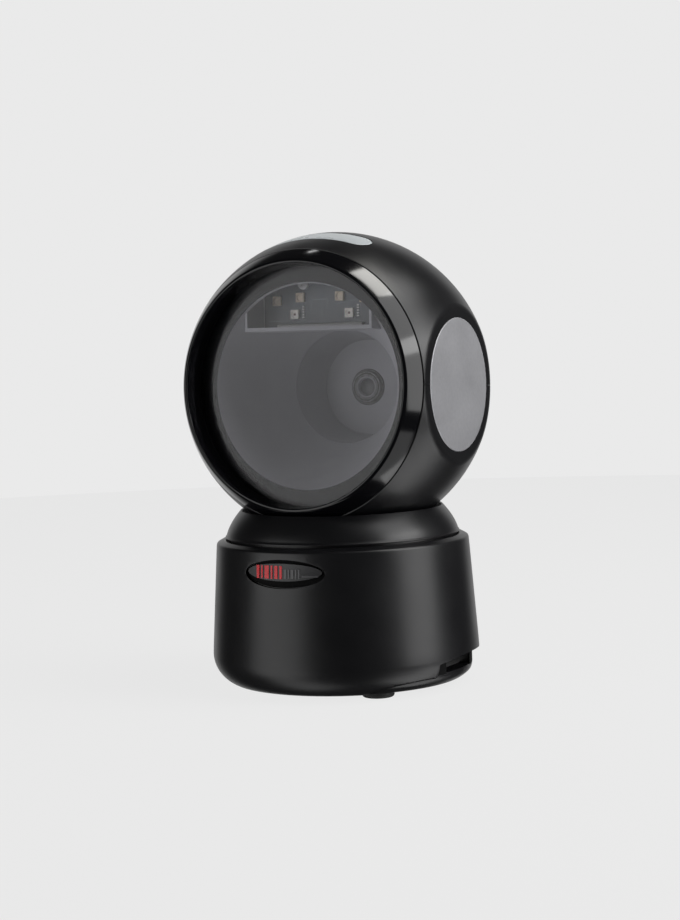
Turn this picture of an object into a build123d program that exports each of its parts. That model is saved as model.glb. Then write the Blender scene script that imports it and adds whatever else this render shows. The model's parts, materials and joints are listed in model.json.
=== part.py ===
from build123d import *
from math import atan, atan2, cos, degrees, radians, sin, sqrt, tan
import os

# Hands-free presentation scanner: a ball-shaped head tilts on a fork inside a round base.
# Millimetres. The origin is on the table at the axis of the base, +Z up, the window faces -Y.

# ---------------------------------------------------------------- driving dimensions
BALL_R = 50.0            # outer radius of the head
BALL_Z = 96.5            # height of the ball's centre, where the tilt axis runs along X
HEAD_TILT = 3.0          # the head rests this many degrees face-up
TILT_UP = 20.0           # largest face-up angle from upright
TILT_DOWN = 10.0         # largest face-down angle from upright
SHELL = 2.2              # wall of the head shells and of the base housing
FACET_X = 43.45          # flats on the two sides of the head
FACET_BLEND = 4.0        # radius of the blend between flat and ball
FACET_WALL_X = 38.7      # inner face of the wall behind each flat
DISC_R = 21.2            # silver side disc
DISC_X = 42.3            # floor of the disc's recess
DISC_T = 1.25
DISC_GAP = 0.15
SEAM_Y = -25.0           # where the shells end and the bezel starts
LIP_R = 39.5             # outer edge of the bezel's crest
PANE_R = 38.9
PANE_Y = -23.5           # front face of the window pane
PANE_T = 2.0
CLEAR_R = 32.9           # clear opening inside the printed border
MASK_T = 0.3
TUBE_Y = 6.0             # rear end of the funnel, front end of the camera tube
TUBE_R = 18.8
TUBE_END_Y = 23.5
CAMERA_BOARD_Y = 30.0
DECODER_Y = 37.2
BOARD_T = 1.6
STACK = 10.5             # half the spacing of the rear boards' fasteners

YOKE_HALF_Y = 4.0
YOKE_OUT_R = 46.3
YOKE_IN_R = 41.0
ARM_OUT_X = 37.0
ARM_IN_X = 33.0
STEM_HALF_X = 12.0
EYE_R = 8.0
SHOULDER_R = 3.0         # shoulder of the pivot screw
RUNNING = 0.05           # radial play of the tilt pivots

BASE_TOP_R = 41.2
BASE_TOP_Z = 46.35
BASE_LOW_R = 43.55       # outer radius where the rounded lower edge starts
CORNER_Z = 11.63         # height where it starts
CORNER_R = 10.3
LEAN = atan((BASE_LOW_R - BASE_TOP_R) / (BASE_TOP_Z - CORNER_Z))
SKIRT_R = 38.6           # inner end of the housing's turned-in lower edge
PLATE_Z = 1.8            # underside of the bottom plate
PLATE_R = 38.3           # edge of its flat underside
PLATE_WALL_R = 41.05     # upright wall, seen through the service notch
FLOOR_Z = 4.0            # upper face of the plate's floor
COLLAR_R = 38.2
COLLAR_MOUTH_R = 32.5
FOOT_R = 5.1
FOOT_AT = 32.4

# Azimuths are counted from the front towards +X. Each slanted plane is given by the azimuth it
# climbs towards, its height over the base's axis, and its rise from there to BASE_LOW_R.
SEAM_CUT = (66.0, -11.9, 18.0)     # lower edge of the housing
NOTCH_CUT = (96.0, -3.95, 15.0)    # upper edge of the service notch
NOTCH_AZ = (70.0, 140.0)
BAY_HALF_Y = 9.0
BAY_END_X = 36.0
OUTLET_Z = (6.0, 10.6)
JACK_FACE_X = 6.3
INTERFACE_Z = 15.5
FLANGE_Z = 24.0

BADGE_Z = 40.2
BADGE_W = 28.2
BADGE_H = 9.0
BADGE_DEPTH = 1.3
PLATE_LIFT = 0.5         # the badge plate sits this much above the middle of its recess

STRIP_LENGTH = 37.3      # indicator strip on top of the head
STRIP_WIDTH = 9.2
STRIP_TILT = 15.2        # the strip's middle is this many degrees in front of the pole

SCREW_SPOTS = [(0, -34), (0, 34), (-34, 0)]
PILLARS = [(x, y) for x in (-12, 12) for y in (-18.5, 18.5)]
BOARD_POSTS = [(-24, -9), (-24, 9)]
FOOT_AZIMUTHS = (45, 160, 290)
FEET = [(FOOT_AT * sin(radians(a)), -FOOT_AT * cos(radians(a))) for a in FOOT_AZIMUTHS]
POSTS = [(-17, 30.5), (17, 30.5)]  # screw posts between the head shells

LEDS_WHITE = [(-9.4, 23.3), (10.3, 23.3)]
LEDS_AMBER = [(-16.0, 27.8), (-7.4, 28.7), (6.9, 28.7), (15.6, 28.0)]
RESISTOR_COLUMNS = (-6.4, 13.3)
LED_SCREWS = [(-6.2, 33.0), (3.4, 33.9)]
LED_BOARD_Y = -10.5
SHELF_Z = 17.7

LEAD_R = 1.1
LEAD_BORE_X = 6.0        # bore for the lead through the fork's stem
LEAD_X = 31.3            # the base lead climbs beside the arm at this distance
MEET_X = 28.0            # the two leads meet here, on the tilt axis
GAP = 0.15

os.makedirs("parts", exist_ok=True)


# ---------------------------------------------------------------- helpers
def outline(start, *moves):
    """Closed face from points; a pair of points is an arc's middle and end."""
    edges, here = [], start
    for move in moves:
        if isinstance(move[0], tuple):
            edges.append(ThreePointArc(here, *move))
            here = move[1]
        else:
            edges.append(Line(here, move))
            here = move
    edges.append(Line(here, start))
    return make_face(edges)


def turned_z(*points):
    """Solid of revolution about Z from (radius, height) points."""
    return revolve(Plane.XZ * outline(*points), Axis.Z)


def turned_y(*points):
    """Solid of revolution about Y from (radius, y) points."""
    return revolve(outline(*points), Axis.Y)


def block(x, y, z):
    """Box from its ranges along X, Y and Z."""
    size = Box(x[1] - x[0], y[1] - y[0], z[1] - z[0])
    return Pos((x[0] + x[1]) / 2, (y[0] + y[1]) / 2, (z[0] + z[1]) / 2) * size


def post(x, y, z, r):
    """Upright cylinder from z[0] to z[1]."""
    return Pos(x, y, (z[0] + z[1]) / 2) * Cylinder(r, z[1] - z[0])


def along_x(x, r, y=0, z=0):
    """Cylinder along X from x[0] to x[1]."""
    return Pos((x[0] + x[1]) / 2, y, z) * Rot(0, 90, 0) * Cylinder(r, x[1] - x[0])


def along_y(y, r, x=0, z=0):
    """Cylinder along Y from y[0] to y[1]."""
    return Pos(x, (y[0] + y[1]) / 2, z) * Rot(90, 0, 0) * Cylinder(r, y[1] - y[0])


CORNER_MID = (BASE_LOW_R - CORNER_R * cos(LEAN), CORNER_Z - CORNER_R * sin(LEAN))


def corner(inset, angle):
    """Point on the base's rounded lower edge, moved inwards, at an angle below the horizontal."""
    r = CORNER_R - inset
    a = radians(angle)
    return (CORNER_MID[0] + r * cos(a), CORNER_MID[1] - r * sin(a))


def corner_at(inset, radius):
    """Point on the rounded lower edge that has this radius from the base's axis."""
    run = radius - CORNER_MID[0]
    height = sqrt((CORNER_R - inset) ** 2 - run ** 2)
    return (radius, CORNER_MID[1] - height)


def base_side(inset, z_low=CORNER_Z, z_high=BASE_TOP_Z):
    """Cone of the base's side wall, moved inwards by inset, as a solid."""
    slope = (BASE_LOW_R - BASE_TOP_R) / (BASE_TOP_Z - CORNER_Z)
    r_low = BASE_LOW_R - inset - slope * (z_low - CORNER_Z)
    r_high = BASE_LOW_R - inset - slope * (z_high - CORNER_Z)
    return turned_z((0, z_low), (r_low, z_low), (r_high, z_high), (0, z_high))


def below(cut, lift):
    """Everything below a slanted plane, which is raised by lift."""
    azimuth, middle, rise = cut
    a = radians(azimuth)
    slope = rise / BASE_LOW_R
    normal = (-slope * sin(a), slope * cos(a), 1)
    return Plane((0, 0, middle + lift), z_dir=normal) * Pos(0, 0, -50) * Box(220, 220, 100)


def sector(inset):
    """Wedge over the azimuths of the service notch, each of its sides moved inwards by inset."""
    low, high = NOTCH_AZ
    middle = (low + high) / 2
    back = inset / sin(radians(high - middle))
    apex = Vector(sin(radians(middle)), -cos(radians(middle))) * back
    rim = [apex + Vector(sin(radians(a)), -cos(radians(a))) * 70 for a in (low, middle, high)]
    return extrude(make_face(Polyline(apex, *rim, close=True)), amount=40)


def opened(inset):
    """Space below the base where the housing is cut away, moved inwards by inset."""
    return below(SEAM_CUT, -inset) + (sector(inset) & below(NOTCH_CUT, -inset))


def on_head(shape):
    """Places a shape built around the ball's centre at the head's rest tilt."""
    return Pos(0, 0, BALL_Z) * Rot(-HEAD_TILT, 0, 0) * shape


def on_axis(shape):
    """Places a shape built around the ball's centre upright, with the base."""
    return Pos(0, 0, BALL_Z) * shape


def both_sides(maker):
    """The +X shape and its mirror image."""
    shape = maker()
    return [shape, mirror(shape, Plane.YZ)]


def cross_slot(width, depth):
    """Cross recess to cut from a screw head whose face is at z = 0."""
    bar = Box(width, width / 4, depth)
    return bar + Rot(0, 0, 90) * bar


def tube(points, r):
    """Round lead along runs joined by arcs as large as the runs allow."""
    runs = [(Vector(*b) - Vector(*a)) for a, b in zip(points, points[1:])]
    radii = []
    for a, b in zip(runs, runs[1:]):
        turn = radians(a.get_angle(b))
        radii.append(0.45 * min(a.length, b.length) / tan(turn / 2))
    path = FilletPolyline(*points, radius=radii)
    section = Plane(path @ 0, z_dir=path % 0) * Circle(r)
    lead = sweep(section, path)
    print("lead radii", [round(v, 2) for v in radii], "length", round(path.length, 1))
    return lead


def save(name, shape):
    solids = []
    for piece in shape if isinstance(shape, list) else [shape]:
        solids += piece.solids()
    part = solids[0] if len(solids) == 1 else Compound(children=solids)
    export_step(part, os.path.join("parts", name + ".step"))


# ---------------------------------------------------------------- base: housing and collar
def oval(width, height, lift, depth):
    """Elliptic prism that faces the front of the base at the badge's height."""
    face = Plane.XZ * Pos(0, BADGE_Z + lift) * Ellipse(width / 2, height / 2)
    return extrude(face, amount=depth)


def base_housing():
    lean = -degrees(LEAN)
    shell = turned_z(
        (37.9, 48.0), (38.5, 48.0), (40.4, 47.2), ((41.0, 46.93), (BASE_TOP_R, BASE_TOP_Z)),
        (BASE_LOW_R, CORNER_Z), (corner(0, 30), corner_at(0, SKIRT_R)), corner_at(SHELL, SKIRT_R),
        (corner(SHELL, 23), corner(SHELL, lean)), (BASE_TOP_R - SHELL, 44.6), (37.9, 45.8))
    for x, y in SCREW_SPOTS:
        rib = block((-0.8, 0.8), (34, 40.2), (15, 40))
        angle = {(0, -34): 180, (0, 34): 0, (-34, 0): 90}[(x, y)]
        shell += post(x, y, (15, 40), 3.2) + Rot(0, 0, angle) * rib
        shell -= post(x, y, (14, 28), 1.5)
    shell -= oval(BADGE_W, BADGE_H, 0, 60) & (base_side(-1) - base_side(BADGE_DEPTH))
    return shell - below(SEAM_CUT, 0) - (sector(0) & below(NOTCH_CUT, 0))


def collar():
    return turned_z(
        (COLLAR_MOUTH_R, 56.9), ((32.6, 57.25), (33.0, 57.35)), ((36.15, 53.1), (37.85, 49.25)),
        (COLLAR_R, 48.88), ((COLLAR_R - 0.03, 48.62), (38.0, 48.55)), (37.4, 48.55), (37.4, 43.0),
        (35.4, 43.0), (35.4, 51.0), (29.5, 51.0), (29.5, 53.0), (COLLAR_MOUTH_R, 53.0))


def collar_liner():
    return turned_z((29.5, 53.0), (32.3, 53.0), (32.3, 56.8), (31.9, 56.9), (29.5, 55.4))


def badge_plate():
    band = base_side(0.25) - base_side(BADGE_DEPTH)
    return oval(BADGE_W - 1.0, BADGE_H - 2.1, PLATE_LIFT, 60) & band


def badge_bars(x, gap, widths, low, high):
    """Generic upright bars on the badge plate, the first one starting at x."""
    band = base_side(0.1) - base_side(0.25)
    bars = []
    for width in widths:
        bars.append(block((x, x + width), (-60, 0), (BADGE_Z + low, BADGE_Z + high)) & band)
        x += width + gap
    return bars


def badge_marks():
    """Red bar-code bars on the left, small grey bars and a line on the right."""
    red = badge_bars(-9.4, 0.75, (1.1, 0.6, 1.6, 0.6, 1.1, 0.8), -1.45, 2.6)
    grey = badge_bars(0.9, 0.5, (0.9, 0.5, 0.9, 0.5, 0.5), -1.3, 1.5)
    return red, grey + badge_bars(6.9, 0, (5.0,), -0.85, -0.35)


# ---------------------------------------------------------------- base: bottom plate and weight
def bottom_plate():
    lower_edge = (corner(0, 53.5), corner_at(0, 40.4))
    into_wall = ((40.88, 4.3), (PLATE_WALL_R, 5.4))
    core = turned_z(
        (0, PLATE_Z), (38.0, PLATE_Z), corner_at(0, PLATE_R), corner_at(2.55, PLATE_R),
        (corner(2.55, 25), corner(2.55, 0)), (41.0, 13.0), (38.8, 13.0), (38.8, 9.5),
        (36.6, FLOOR_Z), (0, FLOOR_Z))
    rim = turned_z(
        (37.0, PLATE_Z), (38.0, PLATE_Z), corner_at(0, PLATE_R), lower_edge, into_wall,
        (PLATE_WALL_R, 12.0), (38.9, 12.0), (38.9, 9.0), (37.0, 5.0))
    plate = core + (rim & opened(GAP))
    bay = block((-13, 41), (-BAY_HALF_Y - 1.8, BAY_HALF_Y + 1.8), (PLATE_Z, INTERFACE_Z))
    envelope = turned_z(
        (0, PLATE_Z), (38.0, PLATE_Z), corner_at(0, PLATE_R), lower_edge, into_wall,
        (PLATE_WALL_R, 11.0), (40.8, 20), (0, 20))
    plate += bay & envelope
    for x, y in PILLARS:
        plate += post(x, y, (FLOOR_Z - 1, FLANGE_Z), 3.4)
    for x, y in BOARD_POSTS:
        plate += post(x, y, (FLOOR_Z - 1, INTERFACE_Z), 3.0)
    inside = (-BAY_HALF_Y, BAY_HALF_Y)
    plate -= block((-11.2, BAY_END_X), inside, (-1, 13.7))
    plate -= block((-11.2, JACK_FACE_X + 0.3), inside, (13, 30))
    plate -= block((30, 50), inside, OUTLET_Z)
    for x, y in SCREW_SPOTS:
        plate -= post(x, y, (0, 3.4), 3.2) + post(x, y, (0, 8), 1.7)
    for x, y in FEET:
        plate -= post(x, y, (0, 3.0), FOOT_R + 0.05)
    for x, y in PILLARS + BOARD_POSTS:
        plate -= post(x, y, (8, 30), 1.2)
    return plate


def rubber_feet():
    feet = []
    for x, y in FEET:
        pad = fillet(Cylinder(FOOT_R, 3.0).edges().group_by(Axis.Z)[0], 0.8)
        feet.append(Pos(x, y, 1.5) * pad)
    return feet


def ballast_weights():
    ring = post(0, 0, (FLOOR_Z, 14), 36.4)
    ring -= block((-50, 50), (-14.2, 14.2), (0, 30))
    for x, y in PILLARS:
        ring -= post(x, y, (0, 30), 3.9)
    for x, y in SCREW_SPOTS:
        ring -= post(x, y, (0, 30), 4.2)
    return ring


def pan_screw(x, y, z_face, head_r, head_t, shank_r, shank_t, up):
    """Screw whose head's bearing face is at z_face; up is +1 where the shank points up."""
    head = fillet(Cylinder(head_r, head_t).edges().group_by(Axis.Z)[0], head_t * 0.4)
    head = Pos(0, 0, -head_t / 2) * head - Pos(0, 0, -head_t) * cross_slot(head_r, head_t)
    body = head + Pos(0, 0, shank_t / 2) * Cylinder(shank_r, shank_t)
    return Pos(x, y, z_face) * (body if up > 0 else Rot(180, 0, 0) * body)


def base_screws():
    bottom = [pan_screw(x, y, 3.4, 2.8, 1.3, 1.45, 22, 1) for x, y in SCREW_SPOTS]
    yoke = [pan_screw(x, y, FLANGE_Z + 3, 3.0, 1.8, 1.15, 16, -1) for x, y in PILLARS]
    board = [pan_screw(x, y, INTERFACE_Z + BOARD_T, 2.3, 1.3, 1.15, 8, -1) for x, y in BOARD_POSTS]
    return bottom, yoke, board


# ---------------------------------------------------------------- base: interface electronics
def data_jack():
    jack = block((-10.5, JACK_FACE_X), (-8.2, 8.2), (3.2, INTERFACE_Z))
    jack -= block((-6, 10), (-6, 6), (5.0, 12.0))
    jack -= block((-6, 10), (-3.2, 3.2), (11, 13.4))
    for step in range(8):
        y = (step - 3.5) * 1.02
        jack -= block((-6, 4.5), (y - 0.28, y + 0.28), (4.3, 6))
    return jack


def jack_contacts():
    wires = []
    for step in range(8):
        y = (step - 3.5) * 1.02
        wires.append(block((-6, 4.5), (y - 0.25, y + 0.25), (4.3, 5.2)))
    return wires


def interface_board():
    board = block((-28, 8), (-12, 12), (INTERFACE_Z, INTERFACE_Z + BOARD_T))
    for x, y in BOARD_POSTS:
        board -= post(x, y, (10, 30), 1.3)
    return fillet(board.edges().filter_by(Axis.Z).group_by(SortBy.LENGTH)[-1][:4], 1.0)


def interface_chips():
    top = INTERFACE_Z + BOARD_T
    chips = [block((-21, -14.5), (-7.5, -1), (top, top + 1.2)), block((-4, 1), (5, 9), (top, top + 1.0))]
    for step in range(4):
        chips.append(block((-22 + 2 * step, -21 + 2 * step), (4, 4.8), (top, top + 0.6)))
    return chips


def lead_socket():
    top = INTERFACE_Z + BOARD_T
    return block((-14, -9), (-3.2, 3.2), (top, top + 4.0))


# ---------------------------------------------------------------- tilt fork and pivots
def tilt_yoke():
    outer = Circle(YOKE_OUT_R) & Rectangle(2 * ARM_OUT_X, 200)
    inner = Circle(YOKE_IN_R) & Rectangle(2 * ARM_IN_X, 200)
    fork = extrude(Plane.XZ * (outer - inner), amount=YOKE_HALF_Y, both=True)
    fork -= block((-60, 60), (-20, 20), (0, 60))
    for side in (-1, 1):
        reach = sorted((side * ARM_IN_X, side * ARM_OUT_X))
        fork += along_x(reach, EYE_R)
    low = FLANGE_Z - BALL_Z
    fork += block((-STEM_HALF_X, STEM_HALF_X), (-YOKE_HALF_Y, YOKE_HALF_Y), (low + 1, -43))
    flange = block((-16.5, 16.5), (-23, 23), (low, low + 3))
    fork += fillet(flange.edges().filter_by(Axis.Z), 4)
    for side in (-1, 1):
        web = Polyline((side * 16, low + 2), (side * 10, low + 2), (side * 10, low + 14), close=True)
        fork += extrude(Plane.XZ * make_face(web), amount=YOKE_HALF_Y - 1, both=True)
    fork -= post(LEAD_BORE_X, 0, (low - 5, -36), 2 * LEAD_R)
    for x, y in PILLARS:
        fork -= post(x, y, (low - 5, low + 10), 1.5)
    for side in (-1, 1):
        fork -= along_x(sorted((side * 30, side * 40)), 2.5)
    return on_axis(fork)


def pivot_screw():
    screw = along_x((ARM_IN_X, ARM_OUT_X), 2.5) + along_x((ARM_OUT_X, 40.8), SHOULDER_R)
    return screw + along_x((40.8, 42.0), 5.5) - along_x((41.2, 44), 1.6)


def friction_washer():
    return along_x((37.05, 37.55), 6.6) - along_x((36, 39), SHOULDER_R + RUNNING)


def pivot_bush():
    bush = along_x((37.6, 38.65), 7.0) + along_x((38.6, 40.6), 5.0)
    return bush - along_x((30, 45), SHOULDER_R + RUNNING)


BASE_LEAD = [(-9, 0, 19.1), (LEAD_BORE_X, 0, 19.1), (LEAD_BORE_X, 0, 59.2), (21, 0, 64.6),
             (LEAD_X, 0, 77.5), (LEAD_X, 0, BALL_Z), (MEET_X, 0, BALL_Z)]
HEAD_LEAD = [(MEET_X, 0, 0), (25.3, 0, 0), (25.3, 35.7, 0), (17.0, 35.7, 0)]


# ---------------------------------------------------------------- head: shells
def strip_plane():
    a = radians(STRIP_TILT)
    return Plane((0, 0, 0), x_dir=(1, 0, 0), z_dir=(0, -sin(a), cos(a)))


def strip(length, width, low, high):
    return extrude(strip_plane() * Pos(0, 0, low) * SlotOverall(length, width), amount=high - low)


def ball():
    """Outer form of the head: a ball with a flat on each side, blended into it."""
    mid_x = FACET_X - FACET_BLEND
    mid_r = sqrt((BALL_R - FACET_BLEND) ** 2 - mid_x ** 2)
    scale = BALL_R / (BALL_R - FACET_BLEND)
    half_turn = atan2(mid_r, mid_x) / 2
    bend = (mid_x + FACET_BLEND * cos(half_turn), mid_r + FACET_BLEND * sin(half_turn))
    end = (mid_x * scale, mid_r * scale)
    return revolve(outline(
        (-FACET_X, 0), (-FACET_X, mid_r), ((-bend[0], bend[1]), (-end[0], end[1])),
        ((0, BALL_R), end), (bend, (FACET_X, mid_r)), (FACET_X, 0)), Axis.X)


def head_shell():
    """Both shell halves in one, with side flats, strip slot and the fork's slot."""
    shell = ball() & block((-60, 60), (SEAM_Y, 60), (-60, 60))
    shell -= Sphere(BALL_R - SHELL) & block((-FACET_WALL_X, FACET_WALL_X), (-60, 60), (-60, 60))
    shell -= along_y((-60, -19.2), PANE_R + 1.85)
    for x, y in POSTS:
        shell += post(x, y, (-40, 12), 3.4) & Sphere(BALL_R - 1)
        web = sorted((x, 2.3 * x))
        shell += block(web, (y - 0.8, y + 0.8), (3, 12)) & Sphere(BALL_R - 1)
        shell -= post(x, y, (-60, -8), 2.7) + post(x, y, (-10, 0), 1.6) + post(x, y, (-1, 10), 1.3)
    cut = along_x((DISC_X, 60), DISC_R + DISC_GAP) + along_x((40.65, 60), 6.3)
    cut += along_x((30, 60), 5.05) + along_x((30, FACET_WALL_X - 0.04), 7.2)
    shell -= cut
    shell -= mirror(cut, Plane.YZ)
    shell -= strip(STRIP_LENGTH + 0.6, STRIP_WIDTH + 0.6, 40, 60)
    groove = turned_z((BALL_R - 0.3, 0), (BALL_R + 1, -0.45), (BALL_R + 1, 0.45))
    return shell - groove


def fork_slot():
    """Space that the fork's stem sweeps through the bottom of the head."""
    margin = 6.0
    front, rear = radians(TILT_DOWN + margin), radians(TILT_UP + margin)
    wedge = Polyline((0, 0), (-60 * sin(front), -60 * cos(front)), (60 * sin(rear), -60 * cos(rear)),
                     close=True)
    return extrude(Plane.YZ * make_face(wedge), amount=STEM_HALF_X + 0.8, both=True)


def head_shells():
    whole = head_shell()
    upper = whole & block((-60, 60), (-60, 60), (0.04, 60))
    lower = whole & block((-60, 60), (-60, 60), (-60, -0.04))
    for x in (-12, 12):
        for y in (-6.3, 6.3):
            stub = strip_plane() * Pos(x, y, 46.1) * Cylinder(1.1, 5.0)
            upper += stub & Sphere(BALL_R - 1)
    return upper, lower - fork_slot()


def front_bezel():
    def on_ball(r):
        return (r, -sqrt(BALL_R ** 2 - r ** 2))
    rear_r = 43.0
    return turned_y(
        (37.9, PANE_Y), (38.45, -30.6), ((38.75, -31.12), on_ball(LIP_R)),
        (on_ball(41.4), on_ball(rear_r)), (40.5, on_ball(rear_r)[1]), (40.4, -19.6), (39.05, -19.6),
        (39.05, PANE_Y))


def indicator_lens():
    return strip(STRIP_LENGTH, STRIP_WIDTH, 40, 60) & (Sphere(BALL_R - 0.05) - Sphere(BALL_R - SHELL))


def side_disc():
    disc = along_x((DISC_X, DISC_X + DISC_T), DISC_R)
    return chamfer(disc.edges().group_by(Axis.X)[-1], 0.2)


# ---------------------------------------------------------------- head: window and optics
def optical_chamber():
    rear = PANE_Y + PANE_T + MASK_T
    cone = turned_y((33.2, rear), (38.6, rear), (38.6, rear + 1.2), (34.6, rear + 1.2),
                    (TUBE_R + 1.2, TUBE_Y), (TUBE_R, TUBE_Y))
    pocket_y = (rear + 1.2, LED_BOARD_Y + 1.2)
    cone -= block((-22, 22), pocket_y, (SHELF_Z, 45))
    walls = block((-22.8, 22.8), pocket_y, (SHELF_Z, SHELF_Z + 1.2))
    walls += block((-22.8, 22.8), (pocket_y[1], pocket_y[1] + 1.2), (SHELF_Z, 36))
    for side in (-1, 1):
        walls += block(sorted((side * 22, side * 22.8)), pocket_y, (SHELF_Z, 35))
    cone += walls & along_y((-30, 0), 38.5)
    throat = LED_BOARD_Y + 2.5
    return cone - turned_y((0, throat), (24.9, throat), (TUBE_R, TUBE_Y), (0, TUBE_Y))


def led_board():
    board = block((-21, 21), (LED_BOARD_Y, LED_BOARD_Y + 1.2), (SHELF_Z + 1.4, 36))
    for x, z in LED_SCREWS:
        board -= along_y((-20, 0), 1.2, x, z)
    return board


def led_group(spots):
    leds = []
    for x, z in spots:
        case = block((x - 1.5, x + 1.5), (LED_BOARD_Y - 0.9, LED_BOARD_Y), (z - 1.5, z + 1.5))
        leds.append(case - along_y((LED_BOARD_Y - 2, LED_BOARD_Y - 0.6), 1.05, x, z))
    return leds


def led_resistors():
    chips = []
    for x in RESISTOR_COLUMNS:
        for step in range(5):
            z = 22.1 + 0.85 * step
            chips.append(block((x - 0.35, x + 0.35), (LED_BOARD_Y - 0.35, LED_BOARD_Y), (z, z + 0.45)))
    return chips


def led_screws():
    face = LED_BOARD_Y
    screws = []
    for x, z in LED_SCREWS:
        head = along_y((face - 0.9, face), 1.8, x, z) - along_y((face - 1.2, face - 0.5), 0.8, x, z)
        screws.append(head + along_y((face, face + 1.2), 1.1, x, z))
    return screws


def light_bar():
    bar = block((-15.4, 15.4), (LED_BOARD_Y - 1.6, LED_BOARD_Y), (SHELF_Z + 1.25, SHELF_Z + 2.5))
    return fillet(bar.edges().filter_by(Axis.X), 0.3)


def camera_tube():
    tube_body = turned_y((TUBE_R, TUBE_Y), (TUBE_R + 1.2, TUBE_Y), (17.3, TUBE_END_Y),
                         (5.8, TUBE_END_Y), (5.8, 22.0), (15.9, 22.0))
    for x in (-STACK, STACK):
        for z in (-STACK, STACK):
            tube_body += along_y((23, CAMERA_BOARD_Y), 2.0, x, z)
            tube_body -= along_y((25, CAMERA_BOARD_Y + 1), 0.9, x, z)
    return tube_body


def lens_barrel():
    front = 20.6
    barrel = turned_y((2.9, front + 1.6), (3.5, front), (5.2, front), (5.7, front + 0.5),
                      (5.7, 25.5), (2.4, 25.5), (2.4, front + 2.8), (2.9, front + 2.8))
    holder = block((-7, 7), (25.5, CAMERA_BOARD_Y), (-7, 7))
    holder -= block((-5.6, 5.6), (27.5, 40), (-5.6, 5.6)) + along_y((20, 40), 2.4)
    return barrel + fillet(holder.edges().filter_by(Axis.Y)[:4], 0.4)


def lens_glass():
    return turned_y((0, 21.9), ((1.5, 22.05), (2.88, 22.5)), (2.88, 23.3), (0, 23.3))


def camera_board():
    board = block((-12.5, 12.5), (CAMERA_BOARD_Y, CAMERA_BOARD_Y + BOARD_T), (-12.5, 12.5))
    for x in (-STACK, STACK):
        for z in (-STACK, STACK):
            board -= along_y((20, 40), 1.0, x, z)
    return board


def image_sensor():
    return block((-4.5, 4.5), (CAMERA_BOARD_Y - 1.2, CAMERA_BOARD_Y), (-3.6, 3.6))


def board_standoffs():
    rear = CAMERA_BOARD_Y + BOARD_T
    pillars = []
    for x in (-STACK, STACK):
        for z in (-STACK, STACK):
            hexagon = Plane((x, rear, z), z_dir=(0, 1, 0)) * RegularPolygon(2.1, 6)
            stud = extrude(hexagon, amount=DECODER_Y - rear) + along_y((26, rear), 0.85, x, z)
            pillars.append(stud - along_y((DECODER_Y - 3, DECODER_Y + 1), 0.9, x, z))
    return pillars


def decoder_board():
    board = block((-17, 17), (DECODER_Y, DECODER_Y + BOARD_T), (-18, 18))
    for x in (-STACK, STACK):
        for z in (-STACK, STACK):
            board -= along_y((30, 45), 1.0, x, z)
    return board


def decoder_screws():
    rear = DECODER_Y + BOARD_T
    screws = []
    for x in (-STACK, STACK):
        for z in (-STACK, STACK):
            shape = along_y((rear, rear + 1.1), 1.9, x, z) + along_y((DECODER_Y - 2.5, rear), 0.85, x, z)
            screws.append(shape - along_y((rear + 0.5, rear + 2), 0.7, x, z))
    return screws


def decoder_chips():
    rear = DECODER_Y + BOARD_T
    chips = [block((-6, 6), (rear, rear + 1.4), (-6, 6)), block((-5, 5), (rear, rear + 1.1), (8, 15))]
    for step in range(6):
        x = -7.5 + 3 * step
        chips.append(block((x - 0.6, x + 0.6), (rear, rear + 0.6), (-10.5, -9.3)))
    return chips


def beeper():
    drum = along_y((33.0, DECODER_Y), 5.0, 0, 11.5)
    return drum - along_y((30, 33.8), 1.0, 0, 11.5)


def head_lead_socket():
    return block((12.8, 17.0), (34.2, DECODER_Y), (-3.6, 3.6))


def indicator_board():
    return strip_plane() * Pos(0, 0, 43.0) * Box(30, 15, 1.2)


def indicator_leds():
    leds = []
    for x in (-8, 0, 8):
        leds.append(strip_plane() * Pos(x, 0, 44.0) * Box(3.2, 2.6, 0.8))
    return leds


def shell_screws():
    screws = []
    for x, y in POSTS:
        screws.append(pan_screw(x, y, -8, 2.5, 1.5, 1.2, 16, 1))
    return screws


# ---------------------------------------------------------------- write every node
def write_base():
    save("base_housing", base_housing())
    save("collar", collar())
    save("collar_liner", collar_liner())
    save("badge_plate", badge_plate())
    bars, line = badge_marks()
    save("badge_bars", bars)
    save("badge_line", line)
    save("bottom_plate", bottom_plate())
    save("rubber_feet", rubber_feet())
    save("ballast_weights", ballast_weights())
    bottom, yoke, board = base_screws()
    save("bottom_screws", bottom)
    save("yoke_screws", yoke)
    save("interface_board_screws", board)
    save("data_jack", data_jack())
    save("jack_contacts", jack_contacts())
    save("interface_board", interface_board())
    save("interface_chips", interface_chips())
    save("lead_socket", lead_socket())
    save("tilt_yoke", tilt_yoke())
    save("pivot_screws", [on_axis(s) for s in both_sides(pivot_screw)])
    save("friction_washers", [on_axis(s) for s in both_sides(friction_washer)])
    save("base_lead", tube(BASE_LEAD, LEAD_R))


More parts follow.
